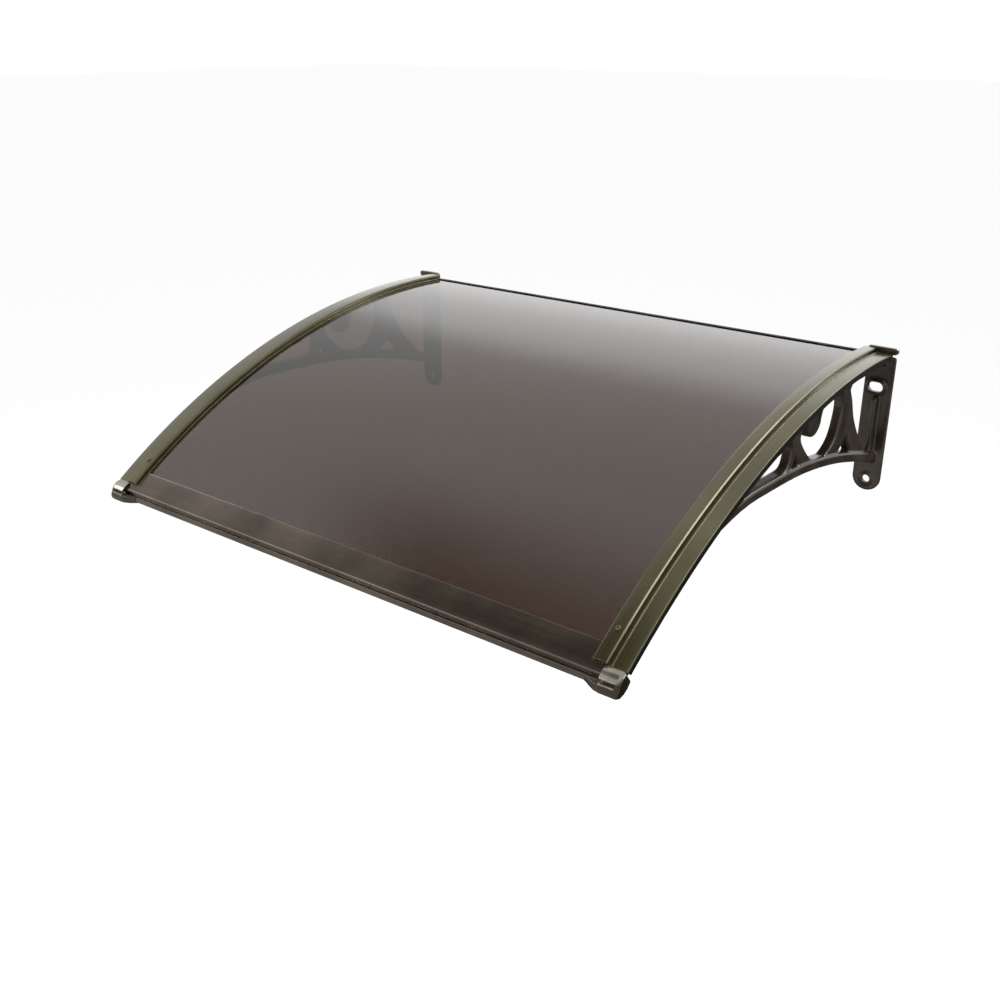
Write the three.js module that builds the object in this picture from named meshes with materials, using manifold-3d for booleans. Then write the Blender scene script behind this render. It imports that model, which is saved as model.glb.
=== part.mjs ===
// A door canopy: a bowed polycarbonate sheet clamped between two moulded wall brackets and two side strips.
// Millimetres, +Z up. The wall is the plane y = 0, the canopy reaches out towards -Y, and the
// origin lies midway between the brackets at the height of their upper fixing slots.
// Outlines seen from the side are drawn in (reach, z), where reach is the distance out from the wall.
import * as THREE from "three";
import { mergeVertices } from "three/addons/utils/BufferGeometryUtils.js";
import Module from "manifold-3d";

const wasm = await Module();
wasm.setup();

// Overall sizes
const overallWidth = 1000; // over the outer edges of the side strips
const bowRadius = 1231; // top face of the side strips
const apexReach = 79; // the bow is level here
const apexHeight = 60; // top face of the strips above the upper fixing slots
const stripRearReach = 9;
const stripFrontReach = 779.7;
const sheetRearReach = 8;
const bowSteps = 30; // facets along the bow

// Clearances
const fitGap = 0.3; // between pieces that are clamped or pushed together
const screwGap = 0.2; // round a screw shank

// Sheet
const sheetThickness = 3;
const sheetHoleRadius = 3.5; // larger than the screw, so the sheet can expand

// Side strips, an aluminium extrusion
const stripWidth = 51.5;
const stripWall = 2.1;
const stripEdgeRound = 1.8;
const fixingLineInset = 14.5; // line of the screws, from the strip's inner edge
const channelRibWidth = 1.2; // the two ribs that the cover strip snaps over
const channelRibHeight = 3;
const lineBeadRadius = 1.3; // bead along the open ledge
const lineBeadGap = 4.3; // from the cover strip

// Cover strips, a hollow ridge over the screws
const coverInner = 11; // from the line of screws towards the middle of the canopy
const coverOuter = 10; // from the line of screws outwards
const coverHeight = 7.1;
const coverWall = 1.4;
const coverShoulder = 2.3; // height and width of the sloped shoulders

// Gaskets, under the sheet's edge with a lip outside it
const gasketThickness = 1.2;
const gasketInset = 3; // from the bracket flange's inner edge
const lipThickness = 2;
const lipBottom = -11; // below the strip's top face

// Screws
const screwCount = 6; // on each strip
const screwRadius = 2;
const screwLength = 13; // below the head
const screwTip = 4;
const headRadius = 3.6;
const headHeight = 1.7;
const screwSides = 10;
const firstScrewInset = 31; // reach, from the strip's rear end
const lastScrewInset = 67.7; // reach, from its front end
const coverScrewInset = 38.7; // one more screw goes through the cover strip, too
const coverScrewLength = 20.5;

// Bracket: wall plate
const bracketInset = 17.5; // middle of the web, from the strips' outer edge
const plateWidth = 48;
const plateThickness = 5;
const plateTop = 52;
const plateEdge = 1.2; // rounding of the plate's edges
const plateCorner = 4;
const slotShift = 3; // slot's middle, from the web's middle towards the middle of the canopy
const slotLength = 25;
const slotHeight = 16;
const slotBossRim = 4;
const slotBossHeight = 6; // proud of the plate
const lowerHoleRadius = 6.5;
const lowerHoleZ = -160;
const lowerBossRim = 4.5;
const lowerBossHeight = 2.5;
const tongueBottom = -181;

// Bracket: arms and struts
const webThickness = 16;
const webEdge = 2.4; // rounding of the web's edges
const holeChamfer = 1.8; // round each opening, on both faces
const flangeThickness = 4.5;
const flangeInner = 27.5; // from the web's middle towards the middle of the canopy
const armDepth = 21; // underside of the upper arm below the strip's top face
const ribWidth = 9.5; // the wall plate's upright rib
const ribReach = 20;
const ribTop = -15;
const lowerArmHeight = 17;
const lowerArmWidth = 22;
const lowerArmEdge = 4;

// Front profile, an aluminium extrusion
const frontWall = 1.6;
const frontFlange = 27; // on top of the sheet
const frontLowerFlange = 16;
const frontFlangeInset = 8; // the flange ends this far short of the side strips
const beadRadius = 3.2;
const beadReach = 6.8; // from the strips' front end outwards
const beadDrop = 9.7; // and downwards
const frontDepth = 28.2; // bottom of the profile below the strips' front end

// Corner caps
const capWidth = 29.7; // inwards from the strip's outer edge
const capOverhang = 0.6; // outside the strip's outer edge
const capEdge = 0.9;
const capGrooveInset = 3.5; // the groove stops this far inside the strip's outer edge
const coverPlateThickness = 1.6; // closes the cover strip's front end
const plugClearance = 2.6; // round the plugs in the cover strips' hollow
const spigotWidth = 9;
const spigotHeight = 5;
const spigotLength = 12;
const spigotDepth = 13; // top of the spigot below the strip's top face

// Rear edge trim
const trimWall = 1.3;
const trimDepth = 8;
const trimInset = 1; // ends this far short of the side strips

// Rear end caps
const rearNeckWidth = 29;
const rearNeckShift = 2; // neck's middle, outwards from the web's middle
const rearHeadInner = 24.5; // from the web's middle towards the middle of the canopy
const rearHeadWidth = 50.5;
const rearHeadHeight = 11.5;
const rearHeadThickness = 7;
const rearHeadBottom = 56;
const rearPlugLength = 12;

// Derived sizes
const outerX = overallWidth / 2;
const innerX = outerX - stripWidth;
const fixingX = innerX + fixingLineInset;
const bracketX = outerX - bracketInset;
const capX = outerX - capWidth;
const lipX = outerX - lipThickness;
const sheetEdgeX = lipX - fitGap;
const sheetTop = -stripWall - fitGap;
const sheetBottom = sheetTop - sheetThickness;
const gasketTop = sheetBottom - fitGap;
const gasketBottom = gasketTop - gasketThickness;
const flangeTop = gasketBottom - fitGap;
const flangeBottom = flangeTop - flangeThickness;
const flangeInnerX = bracketX - flangeInner;
const flangeOuterX = lipX - 2 * fitGap;
const bowCentreZ = apexHeight - bowRadius;

// Angle about the bow's centre at which its top face has this reach, positive towards the front.
const bowAngle = (reach) => Math.asin((reach - apexReach) / bowRadius);
const rearAngle = bowAngle(stripRearReach);
const frontAngle = bowAngle(stripFrontReach);
const sheetRearAngle = bowAngle(sheetRearReach);

// Height of the bow at a reach, for the surface that lies `offset` above the strips' top face.
function bowZ(reach, offset) {
  const radius = bowRadius + offset;
  return bowCentreZ + Math.sqrt(radius ** 2 - (reach - apexReach) ** 2);
}

// A point [reach, z] by its angle round the bow, its distance further along the tangent and its offset.
function onBow(angle, along, offset) {
  const radius = bowRadius + offset;
  return [
    apexReach + radius * Math.sin(angle) + along * Math.cos(angle),
    bowCentreZ + radius * Math.cos(angle) - along * Math.sin(angle),
  ];
}

// A point [reach, z] by its distance out from and below the strips' front end.
function nose(out, down) {
  const [reach, z] = onBow(frontAngle, 0, 0);
  return [reach + out, z - down];
}

// Materials
const finishes = {
  sheet: new THREE.MeshStandardMaterial({
    color: 0x5a4238,
    roughness: 0.06,
    metalness: 0,
    transparent: true,
    opacity: 0.6,
  }),
  strip: new THREE.MeshStandardMaterial({ color: 0x7d785a, roughness: 0.34, metalness: 0.9 }),
  front: new THREE.MeshStandardMaterial({ color: 0x5e5148, roughness: 0.36, metalness: 0.85 }),
  bracket: new THREE.MeshStandardMaterial({ color: 0x3d3a33, roughness: 0.32, metalness: 0.1 }),
  cap: new THREE.MeshStandardMaterial({ color: 0x5c564c, roughness: 0.38, metalness: 0.1 }),
  rubber: new THREE.MeshStandardMaterial({ color: 0x141414, roughness: 0.7, metalness: 0 }),
  screw: new THREE.MeshStandardMaterial({ color: 0xb4b4b0, roughness: 0.3, metalness: 1 }),
};

// A closed geometry as a solid for joining and cutting.
function solidOf(geometry) {
  const bare = geometry.index ? geometry.toNonIndexed() : geometry.clone();
  bare.deleteAttribute("normal");
  bare.deleteAttribute("uv");
  const merged = mergeVertices(bare, 1e-4);
  return new wasm.Manifold(
    new wasm.Mesh({
      numProp: 3,
      vertProperties: merged.attributes.position.array,
      triVerts: new Uint32Array(merged.index.array),
    }),
  );
}

function geometryOf(solid) {
  const mesh = solid.getMesh();
  const geometry = new THREE.BufferGeometry();
  geometry.setAttribute("position", new THREE.BufferAttribute(mesh.vertProperties, 3));
  geometry.setIndex(new THREE.BufferAttribute(mesh.triVerts, 1));
  geometry.computeVertexNormals();
  return geometry;
}

const joined = (...solids) => solids.reduce((sum, next) => sum.add(next));
const cutFrom = (solid, ...tools) => tools.reduce((left, tool) => left.subtract(tool), solid);

// The same solid on the other side of the canopy.
function mirrored(geometry) {
  const copy = geometry.clone().applyMatrix4(new THREE.Matrix4().makeScale(-1, 1, 1));
  const index = copy.index.array;
  for (let i = 0; i < index.length; i += 3) {
    [index[i + 1], index[i + 2]] = [index[i + 2], index[i + 1]];
  }
  copy.computeVertexNormals();
  return copy;
}

function shapeOf(points) {
  return new THREE.Shape(points.map(([x, y]) => new THREE.Vector2(x, y)));
}

// Points on an arc about (x, y) from one angle in degrees to another.
function arcPoints(x, y, radius, from, to, steps) {
  return Array.from({ length: steps + 1 }, (_, i) => {
    const angle = THREE.MathUtils.degToRad(from + ((to - from) * i) / steps);
    return [x + radius * Math.cos(angle), y + radius * Math.sin(angle)];
  });
}

// Rounds an extrusion's edges without changing its outer size.
function edged(round, steps) {
  return {
    bevelEnabled: round > 0,
    bevelSize: round,
    bevelOffset: -round,
    bevelThickness: round,
    bevelSegments: steps,
  };
}

// A side outline in (reach, z) as a slab between two x positions.
function sideSlab(shape, xLow, xHigh, round = 0, steps = 2) {
  const geometry = new THREE.ExtrudeGeometry(shape, {
    depth: xHigh - xLow - 2 * round,
    steps: 1,
    curveSegments: 10,
    ...edged(round, steps),
  });
  geometry.translate(0, 0, round);
  return placedSideways(geometry, xHigh);
}

// Turns an extruded side outline, drawn flat, so that it reaches from an x position inwards.
function placedSideways(geometry, x) {
  const outwards = new THREE.Vector3(0, -1, 0);
  const up = new THREE.Vector3(0, 0, 1);
  const inwards = new THREE.Vector3(-1, 0, 0);
  geometry.applyMatrix4(new THREE.Matrix4().makeBasis(outwards, up, inwards));
  geometry.translate(x, 0, 0);
  return solidOf(geometry);
}

// A front outline in (x, z) as a slab between two distances from the wall.
function frontSlab(shape, reachLow, reachHigh, round = 0, steps = 2) {
  const geometry = new THREE.ExtrudeGeometry(shape, {
    depth: reachHigh - reachLow - 2 * round,
    steps: 1,
    curveSegments: 10,
    ...edged(round, steps),
  });
  geometry.translate(0, 0, round);
  geometry.rotateX(Math.PI / 2);
  geometry.translate(0, -reachLow, 0);
  return solidOf(geometry);
}

// The bow as a path for a section to follow.
class BowPath extends THREE.Curve {
  constructor(from, to) {
    super();
    this.from = from;
    this.to = to;
  }
  getPoint(t, target = new THREE.Vector3()) {
    const [reach, z] = onBow(THREE.MathUtils.lerp(this.from, this.to, t), 0, 0);
    return target.set(0, -reach, z);
  }
}

// A section in (x, height above the strips' top face) swept along the bow.
function alongBow(section, from = rearAngle, to = frontAngle) {
  const facing = section.map(([x, height]) => [-x, -height]);
  const geometry = new THREE.ExtrudeGeometry(shapeOf(facing), {
    steps: Math.max(1, Math.round((bowSteps * (to - from)) / (frontAngle - rearAngle))),
    extrudePath: new BowPath(from, to),
    bevelEnabled: false,
  });
  return solidOf(geometry);
}

// A round bar that stands on the bow, between two heights above the strips' top face.
function bowPin(x, angle, low, high, radius, along = 0) {
  const geometry = new THREE.CylinderGeometry(radius, radius, high - low, screwSides);
  geometry.rotateX(Math.PI / 2);
  geometry.translate(x, 0, bowRadius + (low + high) / 2);
  geometry.rotateX(angle);
  geometry.translate(0, -apexReach - along * Math.cos(angle), bowCentreZ - along * Math.sin(angle));
  return solidOf(geometry);
}

const firstScrewAngle = bowAngle(stripRearReach + firstScrewInset);
const lastScrewAngle = bowAngle(stripFrontReach - lastScrewInset);

// Angles of the screws along a strip, evenly spaced round the bow.
const screwAngles = Array.from({ length: screwCount }, (_, i) => {
  const share = i / (screwCount - 1);
  return THREE.MathUtils.lerp(firstScrewAngle, lastScrewAngle, share);
});

const coverScrewAngle = bowAngle(stripFrontReach - coverScrewInset);

const screwHoles = (low, high, radius) =>
  [...screwAngles, coverScrewAngle].map((angle) => bowPin(fixingX, angle, low, high, radius));

// Sheet
function sheetSolid() {
  const section = [
    [-sheetEdgeX, sheetBottom],
    [sheetEdgeX, sheetBottom],
    [sheetEdgeX, sheetTop],
    [-sheetEdgeX, sheetTop],
  ];
  const blank = alongBow(section, sheetRearAngle, frontAngle);
  const right = screwHoles(sheetBottom - 1, sheetTop + 1, sheetHoleRadius);
  const left = right.map((hole) => solidOf(mirrored(geometryOf(hole))));
  return cutFrom(blank, ...right, ...left);
}

// Side strip: a flat plate on the sheet, with two ribs for the cover strip and a bead on its ledge.
function sideStripSolid() {
  const outerRib = fixingX + coverOuter - coverWall - fitGap;
  const innerRib = fixingX - coverInner + coverWall + fitGap;
  const section = [
    [outerX, -stripWall],
    ...arcPoints(outerX - stripEdgeRound, -stripEdgeRound, stripEdgeRound, 0, 90, 4),
    ...arcPoints(fixingX + coverOuter + lineBeadGap, 0, lineBeadRadius, 0, 180, 4),
    [outerRib, 0],
    [outerRib, channelRibHeight],
    [outerRib - channelRibWidth, channelRibHeight],
    [outerRib - channelRibWidth, 0],
    [innerRib + channelRibWidth, 0],
    [innerRib + channelRibWidth, channelRibHeight],
    [innerRib, channelRibHeight],
    [innerRib, 0],
    [innerX + 0.6, 0],
    [innerX, -0.6],
    [innerX, -stripWall],
  ];
  return cutFrom(alongBow(section), ...screwHoles(-stripWall - 1, 1, screwRadius + screwGap));
}

// Outline of the cover strip, or of its hollow, from its outer foot over the top to its inner foot.
function coverOutline(inset) {
  const high = fixingX + coverOuter - inset;
  const low = fixingX - coverInner + inset;
  const top = coverHeight - inset;
  return [
    [high, fitGap],
    [high, top - coverShoulder],
    [high - 0.65 * coverShoulder, top - 0.4],
    [fixingX, top],
    [low + coverShoulder, top - 0.5],
    [low, top - coverShoulder],
    [low, fitGap],
  ];
}

// Cover strip: snaps over the strip's two ribs.
function coverStripSolid() {
  const section = [...coverOutline(0), ...coverOutline(coverWall).reverse()];
  const hole = bowPin(fixingX, coverScrewAngle, 0, coverHeight + 1, screwRadius + screwGap);
  return alongBow(section).subtract(hole);
}

// Gasket: a flat rubber web under the sheet's edge, with a lip outside it.
function gasketSolid() {
  const from = flangeInnerX + gasketInset;
  const to = outerX - 0.1;
  const section = [
    [from, gasketBottom],
    [lipX, gasketBottom],
    [lipX, lipBottom],
    [to, lipBottom],
    [to, sheetTop],
    [lipX, sheetTop],
    [lipX, gasketTop],
    [from, gasketTop],
  ];
  const cord = alongBow(section, rearAngle, bowAngle(stripFrontReach - 2));
  return cutFrom(cord, ...screwHoles(gasketBottom - 1, gasketTop + 1, screwRadius + screwGap));
}

// Bracket wall plate, with a raised rim round the slot and round the lower hole.
function wallPlateSolid() {
  const half = plateWidth / 2;
  const tongueZ = tongueBottom + half;
  const outline = shapeOf([
    ...arcPoints(bracketX, tongueZ, half, 180, 360, 20),
    ...arcPoints(bracketX + half - plateCorner, plateTop - plateCorner, plateCorner, 0, 90, 4),
    ...arcPoints(bracketX - half + plateCorner, plateTop - plateCorner, plateCorner, 90, 180, 4),
  ]);
  const inPlate = plateThickness / 2;
  const plate = frontSlab(outline, 0, plateThickness, plateEdge);
  const slotBoss = frontSlab(
    stadium(slotX, 0, slotLength + 2 * slotBossRim, slotHeight + 2 * slotBossRim),
    inPlate,
    plateThickness + slotBossHeight,
    1,
  );
  const lowerBoss = frontSlab(
    disc(bracketX, lowerHoleZ, lowerHoleRadius + lowerBossRim),
    inPlate,
    plateThickness + lowerBossHeight,
    0.8,
  );
  const rib = sideSlab(
    shapeOf([
      [inPlate, ribTop],
      [ribReach, ribTop - 2],
      [ribReach, -100],
      [ribReach + 8, -116],
      [ribReach + 8, -124],
      [inPlate, -124],
    ]),
    bracketX - ribWidth / 2,
    bracketX + ribWidth / 2,
    1.2,
  );
  return joined(plate, slotBoss, lowerBoss, rib);
}

const slotX = bracketX - slotShift;

function stadium(x, z, length, height) {
  const radius = height / 2;
  const arm = length / 2 - radius;
  return shapeOf([
    ...arcPoints(x + arm, z, radius, -90, 90, 8),
    ...arcPoints(x - arm, z, radius, 90, 270, 8),
  ]);
}

const disc = (x, z, radius) => shapeOf(arcPoints(x, z, radius, 0, 337.5, 15));

// The lower arm's underside: a flat curve out from the wall plate that rises to meet the upper arm.
const lowerArmUnderside = new THREE.CatmullRomCurve3(
  [
    [-8, -133],
    [88, -104],
    [183, -79.5],
    [296, -60.5],
    [396, -53.5],
    [486, -52],
    [575, -66],
  ].map(([reach, z]) => new THREE.Vector3(reach, z, 0)),
);

// The underside moved up by a distance at right angles to it.
function lowerArmCurve(lift, steps) {
  return Array.from({ length: steps + 1 }, (_, i) => {
    const point = lowerArmUnderside.getPoint(i / steps);
    const tangent = lowerArmUnderside.getTangent(i / steps);
    return [point.x - tangent.y * lift, point.y + tangent.x * lift];
  });
}

// Points on a smooth line through a few points, closed or open.
function smoothLine(points, steps, closed) {
  const curve = new THREE.CatmullRomCurve3(
    points.map(([reach, z]) => new THREE.Vector3(reach, z, 0)),
    closed,
    "catmullrom",
    0.5,
  );
  return curve.getPoints(steps).map((p) => [p.x, p.y]);
}

const smoothHole = (points, steps) => shapeOf(smoothLine(points, steps, true).slice(0, -1));

// Arms and struts as one web: the outline follows the bow on top and the lower arm below.
function webSolid() {
  const top = Array.from({ length: 17 }, (_, i) => {
    const reach = THREE.MathUtils.lerp(plateThickness / 2, lastWebReach, i / 16);
    return [reach, bowZ(reach, flangeTop - flangeThickness / 2)];
  });
  const frontUnderside = Array.from({ length: 6 }, (_, i) => {
    const reach = THREE.MathUtils.lerp(lastWebReach, 600, i / 5);
    return [reach, bowZ(reach, -armDepth)];
  });
  const outline = shapeOf([...lowerArmCurve(0, 24).slice(0, -1), ...frontUnderside.reverse(), ...top.reverse()]);
  return sideSlab(outline, bracketX - webThickness / 2, bracketX + webThickness / 2, webEdge);
}

const lastWebReach = stripFrontReach - 12;

const armUnderside = (reach) => [reach, bowZ(reach, -armDepth)];

// Openings between the arms, from the wall outwards. A rounded knob hangs into the second.
const openings = [
  shapeOf([
    ...smoothLine(
      [[143, 30], [131, 10], [120, -15], [106, -36], [84, -62], [58, -88], [34, -106]],
      16,
      false,
    ),
    [plateThickness / 2, -112],
    armUnderside(plateThickness / 2),
    armUnderside(50),
    armUnderside(96),
    armUnderside(138),
  ]),
  smoothHole(
    [
      armUnderside(178),
      armUnderside(206),
      armUnderside(236),
      [246, 19],
      [249, 5],
      [257, -5],
      [269, -10],
      [282, -8],
      [291, 0],
      [298, 11],
      [306, 14],
      [314, 7],
      [312, -7],
      [282, -36],
      [260, -49],
      [240, -54],
      [218, -53],
      [198, -45],
      [184, -33],
      [175, -14],
      [170, 10],
    ],
    58,
  ),
  smoothHole(
    [
      armUnderside(354),
      armUnderside(366),
      [378, -6],
      [392, -8],
      armUnderside(414),
      armUnderside(450),
      armUnderside(482),
      [488, -39],
      [430, -40],
      [390, -38],
      [360, -36],
      [349, -28],
      [345, -8],
    ],
    40,
  ),
];

// Small holes between the legs of each strut.
const strutHoles = [
  smoothHole([[143, -44], [152, -54], [168, -66], [145, -73], [116, -80], [132, -58]], 18),
  smoothHole([[328, -22], [334, -34], [346, -41], [328, -44], [311, -45], [321, -34]], 14),
];

// Cuts a hole through the web and chamfers its edges on both faces.
function webHoleTools(hole) {
  const half = webThickness / 2;
  const bevel = {
    depth: 1,
    bevelEnabled: true,
    bevelSize: holeChamfer,
    bevelOffset: 0,
    bevelThickness: holeChamfer,
    bevelSegments: 1,
  };
  return [
    sideSlab(hole, bracketX - webThickness, bracketX + webThickness),
    placedSideways(new THREE.ExtrudeGeometry(hole, bevel), bracketX + half + 1),
    placedSideways(new THREE.ExtrudeGeometry(hole, bevel), bracketX - half),
  ];
}

function lowerArmSolid() {
  const under = lowerArmCurve(0, 20);
  const over = lowerArmCurve(lowerArmHeight, 20).reverse();
  const low = bracketX - lowerArmWidth / 2;
  const high = bracketX + lowerArmWidth / 2;
  const arm = sideSlab(shapeOf([...under, ...over]), low, high, lowerArmEdge);
  const aboveFlange = alongBow([
    [low - 1, flangeBottom + 1],
    [high + 1, flangeBottom + 1],
    [high + 1, 40],
    [low - 1, 40],
  ]);
  return arm.subtract(aboveFlange);
}

function spigotSpace(gap) {
  const low = -spigotDepth - spigotHeight - gap;
  const high = -spigotDepth + gap;
  const back = -spigotLength - gap;
  const corners = [
    [back, low],
    [1, low],
    [1, high],
    [back, high],
  ].map(([along, height]) => onBow(frontAngle, along, height));
  const half = spigotWidth / 2 + gap;
  return sideSlab(shapeOf(corners), bracketX - half, bracketX + half);
}

function bracketSolid() {
  const inPlate = plateThickness / 2;
  const half = webThickness / 2;
  const flange = alongBow(
    [
      [flangeInnerX, flangeBottom],
      [flangeOuterX, flangeBottom],
      [flangeOuterX, flangeTop],
      [flangeInnerX, flangeTop],
    ],
    bowAngle(inPlate),
    frontAngle,
  );
  const rail = alongBow(
    [
      [bracketX - half, -armDepth],
      [bracketX + half, -armDepth],
      [bracketX + half, flangeTop - 1],
      [bracketX - half, flangeTop - 1],
    ],
    bowAngle(inPlate),
    frontAngle,
  );
  const struts = cutFrom(webSolid(), ...[...openings, ...strutHoles].flatMap(webHoleTools));
  const behindPlate = sideSlab(
    shapeOf([[-40, -220], [inPlate, -220], [inPlate, 100], [-40, 100]]),
    bracketX - plateWidth,
    bracketX + plateWidth,
  );
  const arms = cutFrom(joined(flange, rail, struts, lowerArmSolid()), behindPlate);
  const body = joined(wallPlateSolid(), arms);
  const slot = frontSlab(stadium(slotX, 0, slotLength, slotHeight), -1, ribReach + 4);
  const lowerHole = frontSlab(disc(bracketX, lowerHoleZ, lowerHoleRadius), -1, 20);
  const pilot = screwHoles(flangeBottom - 1, flangeTop + 1, screwRadius + screwGap);
  return cutFrom(body, slot, lowerHole, ...pilot, spigotSpace(fitGap));
}

// Front profile: one extrusion from side to side, with a groove that takes the sheet's front edge.
function frontProfileSolid() {
  const slotTop = sheetTop + fitGap;
  const slotBottom = sheetBottom - fitGap;
  const at = (along, height) => onBow(frontAngle, along, height);
  const outline = [
    at(-frontFlange, slotTop),
    at(-frontFlange, slotTop + frontWall + 0.5),
    at(-frontFlange + 2, slotTop + frontWall),
    at(1, slotTop + frontWall),
    ...arcPoints(...nose(beadReach, beadDrop), beadRadius, 90, -70, 6),
    nose(5.7, 13.6),
    nose(5.5, 17),
    nose(8.9, 17.8),
    nose(10.5, 21.2),
    nose(10.1, 25.6),
    nose(6.7, frontDepth),
    nose(-0.7, frontDepth),
    nose(-4.7, 25.8),
    at(0.5 + frontWall, slotBottom - 3),
    at(0.5, slotBottom - frontWall),
    at(-frontLowerFlange, slotBottom - frontWall),
    at(-frontLowerFlange, slotBottom),
    at(0.5, slotBottom),
    at(0.5, slotTop),
  ];
  const chamber = [
    nose(4.5, 11.8),
    nose(3.7, 18),
    nose(7.1, 19.2),
    nose(8.3, 21.8),
    nose(8.1, 25),
    nose(6.1, 26.5),
    nose(-0.3, 26.5),
    nose(-2.3, 24.6),
    nose(-2.1, 19.2),
  ];
  const shape = shapeOf(outline);
  shape.holes.push(shapeOf(chamber.reverse()));
  const end = capX - fitGap;
  const bar = sideSlab(shape, -end, end);
  const notch = [
    at(-frontFlange - 1, sheetBottom + 1),
    at(0, sheetBottom + 1),
    at(0, 4),
    at(-frontFlange - 1, 4),
  ];
  const behindEnd = [
    at(-frontFlange - 1, slotBottom - 8),
    at(fitGap, slotBottom - 8),
    at(fitGap, 4),
    at(-frontFlange - 1, 4),
  ];
  const flangeEnd = innerX - frontFlangeInset;
  const lowerEnd = Math.min(innerX, flangeInnerX) - 2 * fitGap;
  return cutFrom(
    bar,
    sideSlab(shapeOf(notch), flangeEnd, capX),
    sideSlab(shapeOf(notch), -capX, -flangeEnd),
    sideSlab(shapeOf(behindEnd), lowerEnd, capX),
    sideSlab(shapeOf(behindEnd), -capX, -lowerEnd),
  );
}

// A box in the cover strip's hollow, between two distances along the tangent at one of its ends.
function plugSolid(angle, from, to) {
  const low = fixingX - coverInner + coverWall + channelRibWidth + plugClearance;
  const high = fixingX + coverOuter - coverWall - channelRibWidth - plugClearance;
  const top = coverHeight - coverWall - 1;
  const corners = [
    onBow(angle, from, 1),
    onBow(angle, to, 1),
    onBow(angle, to, top),
    onBow(angle, from, top),
  ];
  return sideSlab(shapeOf(corners), low, high);
}

// Corner cap: closes the front end of strip, sheet and cover strip, and takes over the front
// profile's groove. A plate and a plug close the cover strip, a spigot sits in the bracket's arm.
function cornerCapSolid() {
  const at = (along, height) => onBow(frontAngle, along, height);
  const body = shapeOf([
    at(fitGap, -armDepth),
    at(fitGap, 0),
    nose(5.3, 0.6),
    nose(9.8, 2.3),
    nose(17.8, 9.8),
    nose(20.8, 17.2),
    nose(22.5, 23.2),
    nose(20.8, 28.7),
    nose(14.3, 31.8),
    nose(4.3, 29.8),
    nose(-4.7, 24.2),
  ]);
  const groove = shapeOf([nose(26.3, 10.8), nose(16.7, 12.6), nose(16.7, 14.8), nose(26.3, 17.6)]);
  const chinTop = nose(0, frontDepth + fitGap)[1];
  const chin = shapeOf([
    [fixingX - coverInner, chinTop],
    [capX + 2, chinTop],
    [capX + 2, chinTop - 2.5],
    [fixingX, chinTop - 1.5],
  ]);
  const plate = [
    at(fitGap, fitGap),
    at(fitGap, coverHeight),
    at(fitGap + coverPlateThickness, coverHeight - 1),
    at(fitGap + coverPlateThickness, fitGap),
  ];
  const end = outerX + capOverhang;
  const shell = cutFrom(
    sideSlab(body, capX, end, capEdge),
    sideSlab(groove, capX - 1, outerX - capGrooveInset),
  );
  return joined(
    shell,
    frontSlab(chin, nose(2, 0)[0], nose(12.5, 0)[0]),
    sideSlab(shapeOf(plate), fixingX - coverInner, fixingX + coverOuter),
    plugSolid(frontAngle, -10, fitGap + 1),
    spigotSpace(0),
  );
}

// Rear edge trim: a U of rubber pushed onto the sheet's rear edge.
function rearTrimSolid() {
  const at = (along, height) => onBow(sheetRearAngle, along, height);
  const top = sheetTop + fitGap;
  const bottom = sheetBottom - fitGap;
  const section = [
    at(trimDepth, top),
    at(trimDepth, top + trimWall),
    at(-fitGap - trimWall, top + trimWall),
    at(-fitGap - trimWall, bottom - trimWall),
    at(trimDepth, bottom - trimWall),
    at(trimDepth, bottom),
    at(-fitGap, bottom),
    at(-fitGap, top),
  ];
  const end = innerX - trimInset;
  return sideSlab(shapeOf(section), -end, end);
}

// Rear end cap: an upright head on a neck that stands on the bracket's plate, with a plug in the
// cover strip's hollow.
function rearCapSolid() {
  const middle = bracketX + rearNeckShift;
  const neckReach = sheetRearReach - 2 * fitGap;
  const headReach = 1 + rearHeadThickness;
  const neck = shapeOf([
    [middle - rearNeckWidth / 2, plateTop + fitGap],
    [middle + rearNeckWidth / 2, plateTop + fitGap],
    [middle + rearNeckWidth / 2, rearHeadBottom + 3],
    [middle - rearNeckWidth / 2, rearHeadBottom + 3],
  ]);
  const headX = bracketX - rearHeadInner + rearHeadWidth / 2;
  const head = stadium(headX, rearHeadBottom + rearHeadHeight / 2, rearHeadWidth, rearHeadHeight);
  const step = stripRearReach - headReach;
  return joined(
    frontSlab(neck, 1, neckReach, 0.8),
    frontSlab(head, 1, headReach, 1.6, 3),
    plugSolid(rearAngle, -step - 1, rearPlugLength),
  );
}

// Pan-head self-tapping screw, point down, with its head's underside at the local origin.
function screwGeometry(radius, length, tip, rim, height) {
  const profile = [
    [0, -length],
    [radius * 0.5, -length + tip * 0.4],
    [radius, -length + tip],
    [radius, 0],
    [rim, 0],
    [rim, height * 0.5],
    [rim * 0.72, height],
    [0, height],
  ].map(([x, y]) => new THREE.Vector2(x, y));
  const geometry = new THREE.LatheGeometry(profile, screwSides);
  geometry.rotateX(Math.PI / 2);
  return geometry;
}

const canopy = new THREE.Group();

function addMesh(parent, name, geometry, finish) {
  const mesh = new THREE.Mesh(geometry, finishes[finish]);
  mesh.name = name;
  parent.add(mesh);
  return mesh;
}

// A piece on the right and its mirror image on the left.
function addPair(name, solid, finish) {
  const right = geometryOf(solid);
  addMesh(canopy, name + "_right", right, finish);
  addMesh(canopy, name + "_left", mirrored(right), finish);
}

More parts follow.
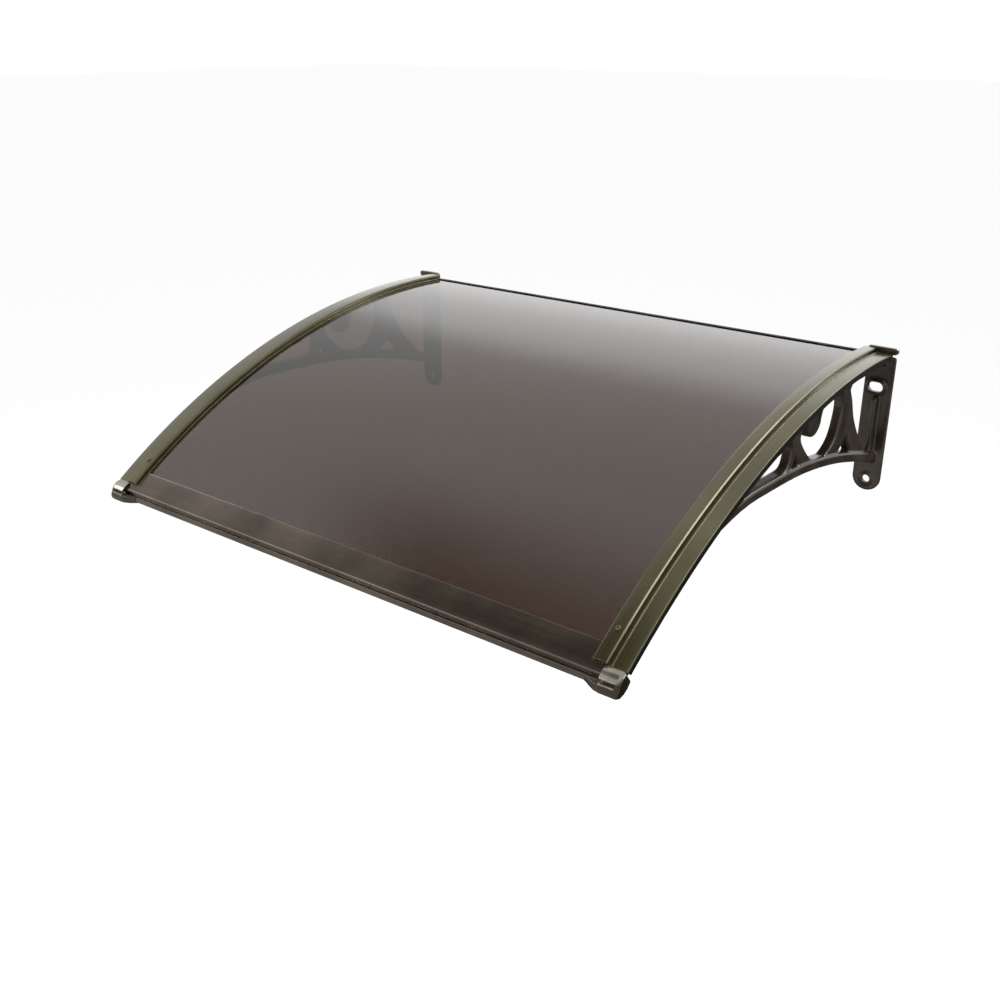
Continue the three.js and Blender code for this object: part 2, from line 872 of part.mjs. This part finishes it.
addMesh(canopy, "polycarbonate_sheet", geometryOf(sheetSolid()), "sheet");
addMesh(canopy, "front_profile", geometryOf(frontProfileSolid()), "front");
addMesh(canopy, "rear_edge_trim", geometryOf(rearTrimSolid()), "rubber");
addPair("bracket", bracketSolid(), "bracket");
addPair("side_strip", sideStripSolid(), "strip");
addPair("cover_strip", coverStripSolid(), "strip");
addPair("sheet_gasket", gasketSolid(), "rubber");
addPair("front_corner_cap", cornerCapSolid(), "cap");
addPair("rear_end_cap", rearCapSolid(), "cap");

// Screws through strip, sheet and bracket arm. Each pair hangs in a group that turns about the
// bow's centre, so a screw only needs its height above that centre.
const bowCentre = new THREE.Group();
bowCentre.position.set(0, -apexReach, bowCentreZ);
canopy.add(bowCentre);
const stripScrew = screwGeometry(screwRadius, screwLength, screwTip, headRadius, headHeight);
const coverScrew = screwGeometry(screwRadius, coverScrewLength, screwTip, headRadius, headHeight);

function addScrewPair(name, number, geometry, angle, height) {
  const arm = new THREE.Group();
  arm.rotation.x = angle;
  bowCentre.add(arm);
  for (const [side, sign] of [["right", 1], ["left", -1]]) {
    const screw = addMesh(arm, name + "_" + side + number, geometry, "screw");
    screw.position.set(sign * fixingX, 0, bowRadius + height + fitGap);
  }
}

screwAngles.forEach((angle, i) => addScrewPair("strip_screw", "_" + (i + 1), stripScrew, angle, 0));
addScrewPair("cover_screw", "", coverScrew, coverScrewAngle, coverHeight);

export default canopy;
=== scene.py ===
"""Looks of a bowed door canopy: bronze sheet, anodised strips, moulded wall brackets. Metres, +Z up."""
import math

import bmesh
import bpy
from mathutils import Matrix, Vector


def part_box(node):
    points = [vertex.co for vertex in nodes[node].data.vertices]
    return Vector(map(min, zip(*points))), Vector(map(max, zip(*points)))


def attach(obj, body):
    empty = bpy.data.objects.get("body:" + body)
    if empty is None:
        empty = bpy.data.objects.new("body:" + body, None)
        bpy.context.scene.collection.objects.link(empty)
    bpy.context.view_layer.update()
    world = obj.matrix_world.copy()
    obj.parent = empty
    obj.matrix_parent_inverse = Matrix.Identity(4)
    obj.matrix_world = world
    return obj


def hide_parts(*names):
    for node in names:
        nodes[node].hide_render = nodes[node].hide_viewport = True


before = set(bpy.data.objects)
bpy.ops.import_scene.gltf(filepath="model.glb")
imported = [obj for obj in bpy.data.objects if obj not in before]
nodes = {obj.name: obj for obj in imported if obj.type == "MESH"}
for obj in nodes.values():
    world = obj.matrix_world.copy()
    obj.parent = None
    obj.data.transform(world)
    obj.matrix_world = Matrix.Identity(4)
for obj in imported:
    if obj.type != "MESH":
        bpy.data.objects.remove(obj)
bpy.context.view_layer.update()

# Camera
SENSOR_WIDTH = 36  # mm
CAMERA_PLACE = (1.0903, -1.7764, 0.5440)
CAMERA_TURN = 38.08  # degrees from looking straight at the wall
CAMERA_DIP = 22.80  # degrees below the horizon
CAMERA_LENS = 40.81  # mm

# Bow that the sheet and the strips follow, in the side view (reach out from the wall, z)
BOW_RADIUS = 1.231  # top face of the side strips
BOW_REACH = 0.079  # the bow is level here
BOW_HEIGHT = 0.060
SHEET_TOP = 0.0024  # below the strips' top face
SHEET_THICKNESS = 0.003
SHEET_STEPS = 160

# Front profile
PIECE_GAP = 0.0005  # between its upper flange and the side strips

# Corner caps: places across the canopy
CAP_INNER = 0.4703  # the cap's inner side face
CAP_OUTER = 0.5006
CAP_EDGE = 0.0008  # bevel of the inner side face
CAP_ROUND = 0.006  # rounding of the outer end
CAP_ROUND_STEPS = 6
GROOVE_FADE_START = 0.0085  # the groove begins to close this far from the outer end
GROOVE_FADE = 0.002
LIP_START = 0.446  # the lip under the front profile begins here
LIP_OVERLAP = 0.001  # it ends this far inside the cap's body
LIP_STEPS = 10
LIP_THIN = 0.03  # share of the cap's full depth at the lip's start
LIP_SWELL = 0.93  # share that it gains up to the body
LIP_EASE = 1.2

# Corner caps: side outlines, in mm from the strips' front end (out from the wall, down)
STRIP_END = (0.7797, -0.1589)  # reach and z of that end, in metres
CAP_UPPER = ((0.4, 0.2), (5.3, 0.5), (9.8, 2.3), (14.2, 5.8), (17.6, 9.8))
CAP_GROOVE = ((18.0, 10.7), (12.6, 11.4), (12.6, 14.8), (19.6, 15.8))
CAP_GROOVE_FILLED = ((18.2, 11.0), (18.8, 12.4), (19.4, 14.0), (20.0, 15.8))
CAP_LOWER = (
    (20.8, 17.6),
    (22.3, 22.0),
    (21.8, 26.2),
    (18.8, 29.6),
    (13.4, 31.6),
    (4.3, 29.8),
    (-4.7, 24.2),
)
CAP_BACK = ((-11.0, 16.4),)
PROFILE_SKIN = (  # just outside the front profile's lower band, point for point with CAP_LOWER
    (9.1, 17.9),
    (10.7, 21.2),
    (10.5, 23.4),
    (10.2, 25.8),
    (7.0, 28.5),
    (-0.7, 28.5),
    (-4.9, 26.0),
)

# Stage
FLOOR_DROP = 2.1  # floor below the fixing slots
FLOOR_SIZE = 120.0

# Skins
WELD = 1e-6
MOULD_GRAIN = 0.0015  # grid on which the bracket's edges are rounded
MOULD_RELAX = 6  # smoothing rounds after that
SMOOTH_BELOW = math.radians(32)  # edges flatter than this are shaded smooth


def node_of(tree, kind, **settings):
    node = tree.nodes.new(kind)
    for name, value in settings.items():
        setattr(node, name, value)
    return node


def new_material(name):
    mat = bpy.data.materials.new(name)
    mat.use_nodes = True
    return mat, mat.node_tree, mat.node_tree.nodes["Principled BSDF"]


def even(scale):
    """The same number of ripples per metre along each axis."""
    return (scale, scale, scale)


def noise(tree, stretch, detail=3.0, roughness=0.55):
    """Noise in object space, with its own number of ripples per metre along each axis."""
    place = node_of(tree, "ShaderNodeTexCoord")
    scaled = node_of(tree, "ShaderNodeMapping")
    scaled.inputs["Scale"].default_value = stretch
    cloud = node_of(tree, "ShaderNodeTexNoise")
    cloud.inputs["Scale"].default_value = 1.0
    cloud.inputs["Detail"].default_value = detail
    cloud.inputs["Roughness"].default_value = roughness
    tree.links.new(place.outputs["Object"], scaled.inputs["Vector"])
    tree.links.new(scaled.outputs["Vector"], cloud.inputs["Vector"])
    return cloud.outputs["Fac"]


def ranged(tree, source, low, high, out_low=0.0, out_high=1.0, curve="LINEAR"):
    """The source's span low..high as out_low..out_high, held at both ends."""
    span = node_of(tree, "ShaderNodeMapRange", interpolation_type=curve)
    tree.links.new(source, span.inputs["Value"])
    span.inputs["From Min"].default_value = low
    span.inputs["From Max"].default_value = high
    span.inputs["To Min"].default_value = out_low
    span.inputs["To Max"].default_value = out_high
    return span.outputs["Result"]


def mixed(tree, share, first, second):
    """A colour between two others; each is a colour or a socket."""
    mix = node_of(tree, "ShaderNodeMix", data_type="RGBA")
    tree.links.new(share, mix.inputs["Factor"])
    first_colour, second_colour, mixed_colour = mix.inputs[6], mix.inputs[7], mix.outputs[2]
    for socket, value in ((first_colour, first), (second_colour, second)):
        if isinstance(value, bpy.types.NodeSocket):
            tree.links.new(value, socket)
        else:
            socket.default_value = (*value, 1)
    return mixed_colour


def mixed_shader(tree, share, first, second, out):
    """A shader between two others, into the output node."""
    mix = node_of(tree, "ShaderNodeMixShader")
    tree.links.new(share, mix.inputs[0])
    tree.links.new(first.outputs[0], mix.inputs[1])
    tree.links.new(second.outputs[0], mix.inputs[2])
    tree.links.new(mix.outputs[0], out.inputs["Surface"])


def bumped(tree, height, strength, depth, below=None):
    bump = node_of(tree, "ShaderNodeBump")
    bump.inputs["Strength"].default_value = strength
    bump.inputs["Distance"].default_value = depth
    tree.links.new(height, bump.inputs["Height"])
    if below is not None:
        tree.links.new(below, bump.inputs["Normal"])
    return bump.outputs["Normal"]


def rounded_normal(tree, radius):
    bevel = node_of(tree, "ShaderNodeBevel", samples=6)
    bevel.inputs["Radius"].default_value = radius
    return bevel.outputs["Normal"]


def edge_share(tree, rounded):
    """1 along the edges, 0 on the flats: how far the rounded normal leans from the true one."""
    true = node_of(tree, "ShaderNodeNewGeometry")
    dot = node_of(tree, "ShaderNodeVectorMath", operation="DOT_PRODUCT")
    tree.links.new(rounded, dot.inputs[0])
    tree.links.new(true.outputs["Normal"], dot.inputs[1])
    return ranged(tree, dot.outputs["Value"], 0.995, 0.90)


def up_share(tree, low, high):
    """0 to 1 as a surface turns to face up."""
    true = node_of(tree, "ShaderNodeNewGeometry")
    parts = node_of(tree, "ShaderNodeSeparateXYZ")
    tree.links.new(true.outputs["Normal"], parts.inputs[0])
    return ranged(tree, parts.outputs["Z"], low, high)


def times(tree, first, second):
    product = node_of(tree, "ShaderNodeMath", operation="MULTIPLY")
    tree.links.new(first, product.inputs[0])
    tree.links.new(second, product.inputs[1])
    return product.outputs[0]


def sheet_material():
    """Bronze polycarbonate: glossy, slightly wavy, with a breath of dust; lets tinted light through."""
    mat, tree, shader = new_material("bronze_sheet")
    shader.inputs["IOR"].default_value = 1.6
    shader.inputs["Transmission Weight"].default_value = 1.0
    cloud = noise(tree, even(3.0), 4.0)
    dust = noise(tree, even(30.0), 3.0, 0.5)
    shade = mixed(tree, cloud, (0.045, 0.028, 0.020), (0.058, 0.038, 0.028))
    tree.links.new(shade, shader.inputs["Base Color"])
    tree.links.new(ranged(tree, dust, 0.45, 0.8, 0.012, 0.028), shader.inputs["Roughness"])
    waves = bumped(tree, noise(tree, (2.5, 5.0, 5.0), 1.0), 0.12, 0.004)
    tree.links.new(waves, shader.inputs["Normal"])
    clear = node_of(tree, "ShaderNodeBsdfTransparent")
    clear.inputs["Color"].default_value = (0.45, 0.36, 0.32, 1)
    path = node_of(tree, "ShaderNodeLightPath")
    out = tree.nodes["Material Output"]
    mixed_shader(tree, path.outputs["Is Shadow Ray"], shader, clear, out)
    return mat


def extrusion_material(name, dark, light, worn_and_highlight_tone, metal, coat, roughness, stretch, radius):
    """Anodised aluminium: die lines along the extrusion, cloudy tone, brighter edges that are partly
    wear and partly a painted highlight.
    """
    mat, tree, shader = new_material(name)
    lines = noise(tree, stretch, 2.0)
    cloud = noise(tree, even(9.0), 5.0)
    rounded = rounded_normal(tree, radius)
    tone = mixed(tree, ranged(tree, cloud, 0.3, 0.7), dark, light)
    # paler edges: partly wear, partly a painted highlight standing in for bright glints along rounded
    # edges, broken into random patches
    edge_patches = ranged(tree, noise(tree, even(60.0), 4.0), 0.35, 0.65, 0.15, 0.8)
    wear_and_highlight_share = times(tree, edge_share(tree, rounded), edge_patches)
    tree.links.new(mixed(tree, wear_and_highlight_share, tone, worn_and_highlight_tone), shader.inputs["Base Color"])
    low, high = roughness
    tree.links.new(ranged(tree, lines, 0.3, 0.7, low, high), shader.inputs["Roughness"])
    tree.links.new(bumped(tree, lines, 0.06, 0.0002, rounded), shader.inputs["Normal"])
    shader.inputs["Metallic"].default_value = metal
    shader.inputs["Coat Weight"].default_value = coat
    shader.inputs["Coat IOR"].default_value = 1.55
    shader.inputs["Coat Roughness"].default_value = 0.14
    return mat


def moulding_material(name, dark, light, upper, worn_and_highlight_tone, metal, coat, roughness, radius, catch):
    """Moulding: flow marks and fine grain, another tone on what faces up, paler edges. On the bracket
    the upper tone is settled dust; on the caps it is a painted reflection of the sky. The paler edges
    are partly wear and partly a painted highlight.

    The upper tone sets in over the span catch of how far a surface faces up, 0 to 1.
    """
    mat, tree, shader = new_material(name)
    flow = noise(tree, (14.0, 20.0, 20.0), 5.0)
    grain = noise(tree, even(650.0), 2.0)
    rounded = rounded_normal(tree, radius)
    tone = mixed(tree, ranged(tree, flow, 0.32, 0.68), dark, light)
    # tone on up-facing surfaces: settled dust on the bracket, a painted reflection of the sky on the
    # caps
    dust_and_painted_sheen = times(tree, up_share(tree, *catch), ranged(tree, flow, 0.3, 0.8, 0.2, 0.8))
    tone = mixed(tree, dust_and_painted_sheen, tone, upper)
    # paler edges: partly wear, partly a painted highlight standing in for glossy glints along the
    # edges, broken into random patches
    edge_patches = ranged(tree, noise(tree, even(40.0), 4.0), 0.4, 0.65, 0.0, 0.8)
    wear_and_highlight_share = times(tree, edge_share(tree, rounded), edge_patches)
    tree.links.new(mixed(tree, wear_and_highlight_share, tone, worn_and_highlight_tone), shader.inputs["Base Color"])
    low, high = roughness
    tree.links.new(ranged(tree, flow, 0.3, 0.7, low, high), shader.inputs["Roughness"])
    sinks = bumped(tree, flow, 0.25, 0.002, rounded)
    tree.links.new(bumped(tree, grain, 0.08, 0.0002, sinks), shader.inputs["Normal"])
    shader.inputs["Metallic"].default_value = metal
    shader.inputs["Coat Weight"].default_value = coat
    shader.inputs["Coat Roughness"].default_value = 0.1
    return mat


def rubber_material():
    """Black rubber: matt, fine grain; its near-black tone is deeper than rubber's own, partly a painted
    shade.
    """
    mat, tree, shader = new_material("black_rubber")
    grain = noise(tree, even(500.0), 3.0)
    cloud = noise(tree, even(25.0), 4.0)
    # near-black, below rubber's own colour: partly painted shade
    dark = (0.003, 0.003, 0.003)
    light = (0.007, 0.0065, 0.006)
    tone = mixed(tree, ranged(tree, cloud, 0.35, 0.7), dark, light)
    tree.links.new(tone, shader.inputs["Base Color"])
    tree.links.new(ranged(tree, cloud, 0.3, 0.7, 0.42, 0.6), shader.inputs["Roughness"])
    tree.links.new(bumped(tree, grain, 0.15, 0.0003), shader.inputs["Normal"])
    shader.inputs["Specular IOR Level"].default_value = 0.1
    return mat


def screw_material():
    """Steel with an olive coat that is stained in spots."""
    mat, tree, shader = new_material("screw_steel")
    stain = noise(tree, even(300.0), 4.0)
    clean = (0.20, 0.185, 0.12)
    stained = (0.09, 0.08, 0.05)
    tone = mixed(tree, ranged(tree, stain, 0.4, 0.65), clean, stained)
    tree.links.new(tone, shader.inputs["Base Color"])
    tree.links.new(ranged(tree, stain, 0.3, 0.7, 0.28, 0.5), shader.inputs["Roughness"])
    tree.links.new(bumped(tree, stain, 0.2, 0.0002), shader.inputs["Normal"])
    shader.inputs["Metallic"].default_value = 1.0
    return mat


def make_materials():
    return {
        "bronze_sheet": sheet_material(),
        "anodised_strip": extrusion_material(
            "anodised_strip",
            dark=(0.074, 0.065, 0.028),
            light=(0.110, 0.100, 0.048),
            # pale edge tone: partly bare metal worn through, partly a painted highlight
            worn_and_highlight_tone=(0.36, 0.34, 0.25),
            metal=0.85,
            coat=0.5,
            roughness=(0.24, 0.34),
            stretch=(700.0, 4.0, 4.0),
            radius=0.0007,
        ),
        "anodised_front": extrusion_material(
            "anodised_front",
            dark=(0.040, 0.030, 0.021),
            light=(0.098, 0.077, 0.057),
            # pale edge tone: partly bare metal worn through, partly a painted highlight
            worn_and_highlight_tone=(0.34, 0.28, 0.22),
            metal=0.8,
            coat=0.25,
            roughness=(0.24, 0.34),
            stretch=(4.0, 700.0, 700.0),
            radius=0.0006,
        ),
        "bracket_plastic": moulding_material(
            "bracket_plastic",
            dark=(0.009, 0.007, 0.004),
            light=(0.055, 0.041, 0.026),
            upper=(0.060, 0.049, 0.034),
            # pale bronze edge tone: partly wear, partly a painted highlight
            worn_and_highlight_tone=(0.30, 0.21, 0.13),
            metal=0.35,
            coat=0.0,
            roughness=(0.17, 0.30),
            radius=0.001,
            catch=(0.2, 0.95),
        ),
        "cap_plastic": moulding_material(
            "cap_plastic",
            dark=(0.030, 0.025, 0.015),
            light=(0.060, 0.051, 0.033),
            # painted reflection: this pale tone on the caps' up-facing faces stands in for the sky they
            # reflect
            upper=(0.80, 0.76, 0.64),
            # pale edge tone: partly wear, partly a painted highlight
            worn_and_highlight_tone=(0.45, 0.42, 0.33),
            metal=0.8,
            coat=0.15,
            roughness=(0.15, 0.24),
            radius=0.0006,
            catch=(0.42, 0.72),
        ),
        "black_rubber": rubber_material(),
        "screw_steel": screw_material(),
    }


SLOT_OF = {
    "polycarbonate_sheet": "bronze_sheet",
    "side_strip": "anodised_strip",
    "cover_strip": "anodised_strip",
    "front_profile": "anodised_front",
    "bracket": "bracket_plastic",
    "front_corner_cap": "cap_plastic",
    "rear_end_cap": "cap_plastic",
    "sheet_gasket": "black_rubber",
    "rear_edge_trim": "black_rubber",
    "strip_screw": "screw_steel",
    "cover_screw": "screw_steel",
}


def slot_of(name):
    return next(slot for start, slot in SLOT_OF.items() if name.startswith(start))


def add_object(name, mesh):
    obj = bpy.data.objects.new(name, mesh)
    bpy.context.scene.collection.objects.link(obj)
    return obj


def smooth_flats(mesh):
    mesh.shade_smooth()
    mesh.set_sharp_from_angle(angle=SMOOTH_BELOW)


def stand_for(obj, name, materials):
    """The piece takes the place and the finish of the CAD node of that name."""
    obj.data.materials.clear()
    obj.data.materials.append(materials[slot_of(name)])
    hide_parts(name)
    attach(obj, "root")


def welded_mesh(name):
    """The CAD node's surface as one skin, so that it can be shaded smooth."""
    skin = bmesh.new()
    skin.from_mesh(nodes[name].data)
    bmesh.ops.remove_doubles(skin, verts=skin.verts, dist=WELD)
    bmesh.ops.dissolve_degenerate(skin, edges=skin.edges, dist=WELD)
    mesh = bpy.data.meshes.new(name + "_skin")
    skin.to_mesh(mesh)
    skin.free()
    if "custom_normal" in mesh.attributes:
        mesh.attributes.remove(mesh.attributes["custom_normal"])
    return mesh


def smooth_piece(name, materials):
    """The CAD node's own shape, shaded smooth along its curves."""
    mesh = welded_mesh(name)
    smooth_flats(mesh)
    stand_for(add_object(name + ".smooth", mesh), name, materials)


def moulded_piece(name, materials):
    """The bracket with soft mould radii: its skin is rebuilt on a fine grid and relaxed."""
    obj = add_object(name + ".moulded", welded_mesh(name))
    grid = obj.modifiers.new("grid", "REMESH")
    grid.mode = "VOXEL"
    grid.voxel_size = MOULD_GRAIN
    relax = obj.modifiers.new("relax", "SMOOTH")
    relax.factor = 0.5
    relax.iterations = MOULD_RELAX
    graph = bpy.context.evaluated_depsgraph_get()
    mesh = bpy.data.meshes.new_from_object(obj.evaluated_get(graph))
    obj.modifiers.clear()
    obj.data = mesh
    mesh.shade_smooth()
    stand_for(obj, name, materials)


def lofted(name, sections):
    """A closed skin through rings that all have the same number of points."""
    count = len(sections[0])
    points = [point for ring in sections for point in ring]
    faces = [tuple(range(count))]
    for i in range(len(sections) - 1):
        here = i * count
        there = here + count
        for k in range(count):
            nxt = (k + 1) % count
            faces.append((here + nxt, here + k, there + k, there + nxt))
    last = (len(sections) - 1) * count
    faces.append(tuple(last + k for k in reversed(range(count))))
    mesh = bpy.data.meshes.new(name)
    mesh.from_pydata(points, [], faces)
    return mesh


def bow_point(angle, depth):
    """[reach, z] at an angle about the bow's centre, at a depth below the strips' top face."""
    radius = BOW_RADIUS - depth
    return (
        BOW_REACH + radius * math.sin(angle),
        BOW_HEIGHT - BOW_RADIUS + radius * math.cos(angle),
    )


def sheet_piece(materials):
    """The sheet swept finely along the bow, so that its reflections run without steps."""
    low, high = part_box("polycarbonate_sheet")
    rear = math.asin((-high.y - BOW_REACH) / (BOW_RADIUS - SHEET_TOP))
    front = math.asin((-low.y - BOW_REACH) / (BOW_RADIUS - SHEET_TOP))
    sections = []
    for i in range(SHEET_STEPS + 1):
        angle = rear + (front - rear) * i / SHEET_STEPS
        top_reach, top_z = bow_point(angle, SHEET_TOP)
        bottom_reach, bottom_z = bow_point(angle, SHEET_TOP + SHEET_THICKNESS)
        sections.append([
            (-high.x, -top_reach, top_z),
            (high.x, -top_reach, top_z),
            (high.x, -bottom_reach, bottom_z),
            (-high.x, -bottom_reach, bottom_z),
        ])
    mesh = lofted("sheet_skin", sections)
    smooth_flats(mesh)
    stand_for(add_object("polycarbonate_sheet.fine", mesh), "polycarbonate_sheet", materials)


def blended(first, second, share):
    """Points between two outlines."""
    return [tuple(a + (b - a) * share for a, b in zip(p, q)) for p, q in zip(first, second)]


def ring_at(outline, x):
    """The cap's side outline, set up at a place across the canopy."""
    reach, height = STRIP_END
    return [(x, -(reach + out / 1000), height - down / 1000) for out, down in outline]


def shrunk(outline, inset):
    """The outline drawn in towards its middle by about the inset."""
    middle = [sum(axis) / len(outline) for axis in zip(*outline)]
    inner = []
    for point in outline:
        kept = 1 - inset / math.dist(point, middle)
        inner.append(tuple(m + (p - m) * kept for p, m in zip(point, middle)))
    return inner


def cap_body():
    """Sections of the cap's body, from its inner side face to its rounded outer end."""
    grooved = CAP_UPPER + CAP_GROOVE + CAP_LOWER + CAP_BACK
    filled = CAP_UPPER + CAP_GROOVE_FILLED + CAP_LOWER + CAP_BACK
    fade_from = CAP_OUTER - GROOVE_FADE_START
    sections = [
        ring_at(shrunk(grooved, 1000 * CAP_EDGE), CAP_INNER),
        ring_at(grooved, CAP_INNER + CAP_EDGE),
        ring_at(grooved, fade_from),
        ring_at(blended(grooved, filled, 0.5), fade_from + GROOVE_FADE / 2),
        ring_at(filled, fade_from + GROOVE_FADE),
    ]
    for i in range(1, CAP_ROUND_STEPS + 1):
        turn = math.radians(90 * i / CAP_ROUND_STEPS)
        inset = 1000 * CAP_ROUND * (1 - math.cos(turn))
        x = CAP_OUTER - CAP_ROUND * (1 - math.sin(turn))
        sections.append(ring_at(shrunk(filled, inset), x))
    return sections


def cap_lip():
    """Sections of the bowl-like lip that swells from the front profile's skin to the body."""
    length = CAP_INNER + LIP_OVERLAP - LIP_START
    sections = []
    for i in range(LIP_STEPS + 1):
        share = i / LIP_STEPS
        swell = LIP_THIN + LIP_SWELL * math.sin(math.radians(90) * share) ** LIP_EASE
        outer = blended(PROFILE_SKIN, CAP_LOWER, swell)
        sections.append(ring_at(outer + list(reversed(PROFILE_SKIN)), LIP_START + length * share))
    return sections


def corner_cap_piece(name, materials):
    """Cap with a rounded outer end, a groove across its nose and a bowl-like lip under the profile."""
    skin = bmesh.new()
    for part in (lofted("cap_body", cap_body()), lofted("cap_lip", cap_lip())):
        skin.from_mesh(part)
    if name.endswith("left"):
        bmesh.ops.scale(skin, vec=(-1, 1, 1), verts=skin.verts)
    bmesh.ops.recalc_face_normals(skin, faces=skin.faces)
    mesh = bpy.data.meshes.new(name + "_skin")
    skin.to_mesh(mesh)
    skin.free()
    smooth_flats(mesh)
    stand_for(add_object(name + ".shaped", mesh), name, materials)


def front_piece(materials):
    """The front profile, its upper flange carried up to the side strips."""
    mesh = welded_mesh("front_profile")
    strip_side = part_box("side_strip_right")[0].x - PIECE_GAP
    flange_end = min(abs(v.co.x) for v in mesh.vertices)
    for v in mesh.vertices:
        if abs(v.co.x) < flange_end + PIECE_GAP:
            v.co.x = math.copysign(strip_side, v.co.x)
    smooth_flats(mesh)
    stand_for(add_object("front_profile.smooth", mesh), "front_profile", materials)


def make_object():
    materials = make_materials()
    sheet_piece(materials)
    for name in sorted(nodes):
        if name.startswith("bracket"):
            moulded_piece(name, materials)
        elif name.startswith("front_corner_cap"):
            corner_cap_piece(name, materials)
        elif name == "front_profile":
            front_piece(materials)
        elif "screw" in name:
            data = nodes[name].data
            data.materials.clear()
            data.materials.append(materials["screw_steel"])
        elif not name.startswith("polycarbonate"):
            smooth_piece(name, materials)


def make_camera():
    data = bpy.data.cameras.new("camera")
    data.lens = CAMERA_LENS
    data.sensor_width = SENSOR_WIDTH
    data.clip_start = 0.05
    data.clip_end = 200
    camera = bpy.data.objects.new("camera", data)
    camera.location = CAMERA_PLACE
    camera.rotation_euler = (math.radians(90 - CAMERA_DIP), 0, math.radians(CAMERA_TURN))
    bpy.context.scene.collection.objects.link(camera)
    bpy.context.scene.camera = camera


def turned_to(place, aim):
    return (Vector(aim) - Vector(place)).to_track_quat("-Z", "Y").to_euler()


def add_lamp(name, place, aim, size, power):
    data = bpy.data.lights.new(name, "AREA")
    data.shape = "RECTANGLE"
    data.size, data.size_y = size
    data.energy = power
    lamp = bpy.data.objects.new(name, data)
    lamp.location = place
    lamp.rotation_euler = turned_to(place, aim)
    bpy.context.scene.collection.objects.link(lamp)


def flat_mesh(name, width, height):
    mesh = bpy.data.meshes.new(name)
    x, y = width / 2, height / 2
    mesh.from_pydata([(-x, -y, 0), (x, -y, 0), (x, y, 0), (-x, y, 0)], [], [(0, 1, 2, 3)])
    return mesh


def make_floor():
    mesh = flat_mesh("floor", FLOOR_SIZE, FLOOR_SIZE)
    floor = add_object("floor", mesh)
    floor.location.z = -FLOOR_DROP
    mat, tree, shader = new_material("floor_white")
    shader.inputs["Base Color"].default_value = (0.97, 0.97, 0.97, 1)
    shader.inputs["Roughness"].default_value = 0.9
    shader.inputs["Specular IOR Level"].default_value = 0.0
    mesh.materials.append(mat)


def edge_fade(tree, axis_output, half, fade):
    """1 inside, falling to 0 over the last stretch before the card's edge."""
    away = node_of(tree, "ShaderNodeMath", operation="ABSOLUTE")
    tree.links.new(axis_output, away.inputs[0])
    return ranged(tree, away.outputs[0], half - fade, half, 1.0, 0.0, "SMOOTHSTEP")


def card_material(name, size, fade, glow, strength):
    mat = bpy.data.materials.new(name)
    mat.use_nodes = True
    tree = mat.node_tree
    tree.nodes.remove(tree.nodes["Principled BSDF"])
    place = node_of(tree, "ShaderNodeTexCoord")
    parts = node_of(tree, "ShaderNodeSeparateXYZ")
    tree.links.new(place.outputs["Object"], parts.inputs[0])
    across = edge_fade(tree, parts.outputs["X"], size[0] / 2, fade[0])
    along = edge_fade(tree, parts.outputs["Y"], size[1] / 2, fade[1])
    share = ranged(tree, times(tree, across, along), 0.0, 1.0, 0.0, strength)
    light = node_of(tree, "ShaderNodeEmission")
    light.inputs["Color"].default_value = (1, 1, 1, 1)
    light.inputs["Strength"].default_value = glow
    clear = node_of(tree, "ShaderNodeBsdfTransparent")
    mixed_shader(tree, share, clear, light, tree.nodes["Material Output"])
    return mat


def add_card(name, place, aim, size, fade, glow, strength=1.0):
    """A soft-edged panel that only shows in reflections: dark at glow 0, bright above."""
    card = add_object(name, flat_mesh(name, *size))
    card.location = place
    card.rotation_euler = turned_to(place, aim)
    card.visible_camera = False
    card.visible_diffuse = False
    card.visible_transmission = False
    card.visible_shadow = False
    card.data.materials.append(card_material(name, size, fade, glow, strength))


def make_world():
    """Plain white all round, at the strength at which a colour renders about as it is written."""
    world = bpy.data.worlds.new("studio")
    bpy.context.scene.world = world
    world.use_nodes = True
    plain = world.node_tree.nodes["Background"]
    plain.inputs["Color"].default_value = (1, 1, 1, 1)
    plain.inputs["Strength"].default_value = 1.0


def make_stage():
    make_camera()
    make_floor()
    make_world()
    add_lamp("key", place=(-2.3, -2.9, 1.3), aim=(0, -0.6, -0.1), size=(2.6, 0.8), power=36)
    add_lamp("side_strip", place=(2.6, 1.4, 1.6), aim=(0.4, -0.4, 0), size=(4.0, 0.5), power=50)
    add_card(
        "dark_ceiling",
        place=(-0.8, -1.35, 1.8),
        aim=(-0.8, -1.35, 0),
        size=(2.6, 2.6),
        fade=(0.9, 1.2),
        glow=0.0,
        strength=0.95,
    )
    add_card(
        "dark_ground",
        place=(0.5, 1.6, -0.9),
        aim=(0.5, 1.6, 0.0),
        size=(7.0, 7.0),
        fade=(1.5, 1.5),
        glow=0.02,
        strength=0.95,
    )
    add_card(
        "sky_glow",
        place=(-1.4, 4.0, 1.95),
        aim=(-1.4, 0, 1.95),
        size=(9.8, 5.1),
        fade=(1.5, 1.8),
        glow=1.6,
    )


make_object()
make_stage()
bpy.context.scene.view_settings.view_transform = "Standard"
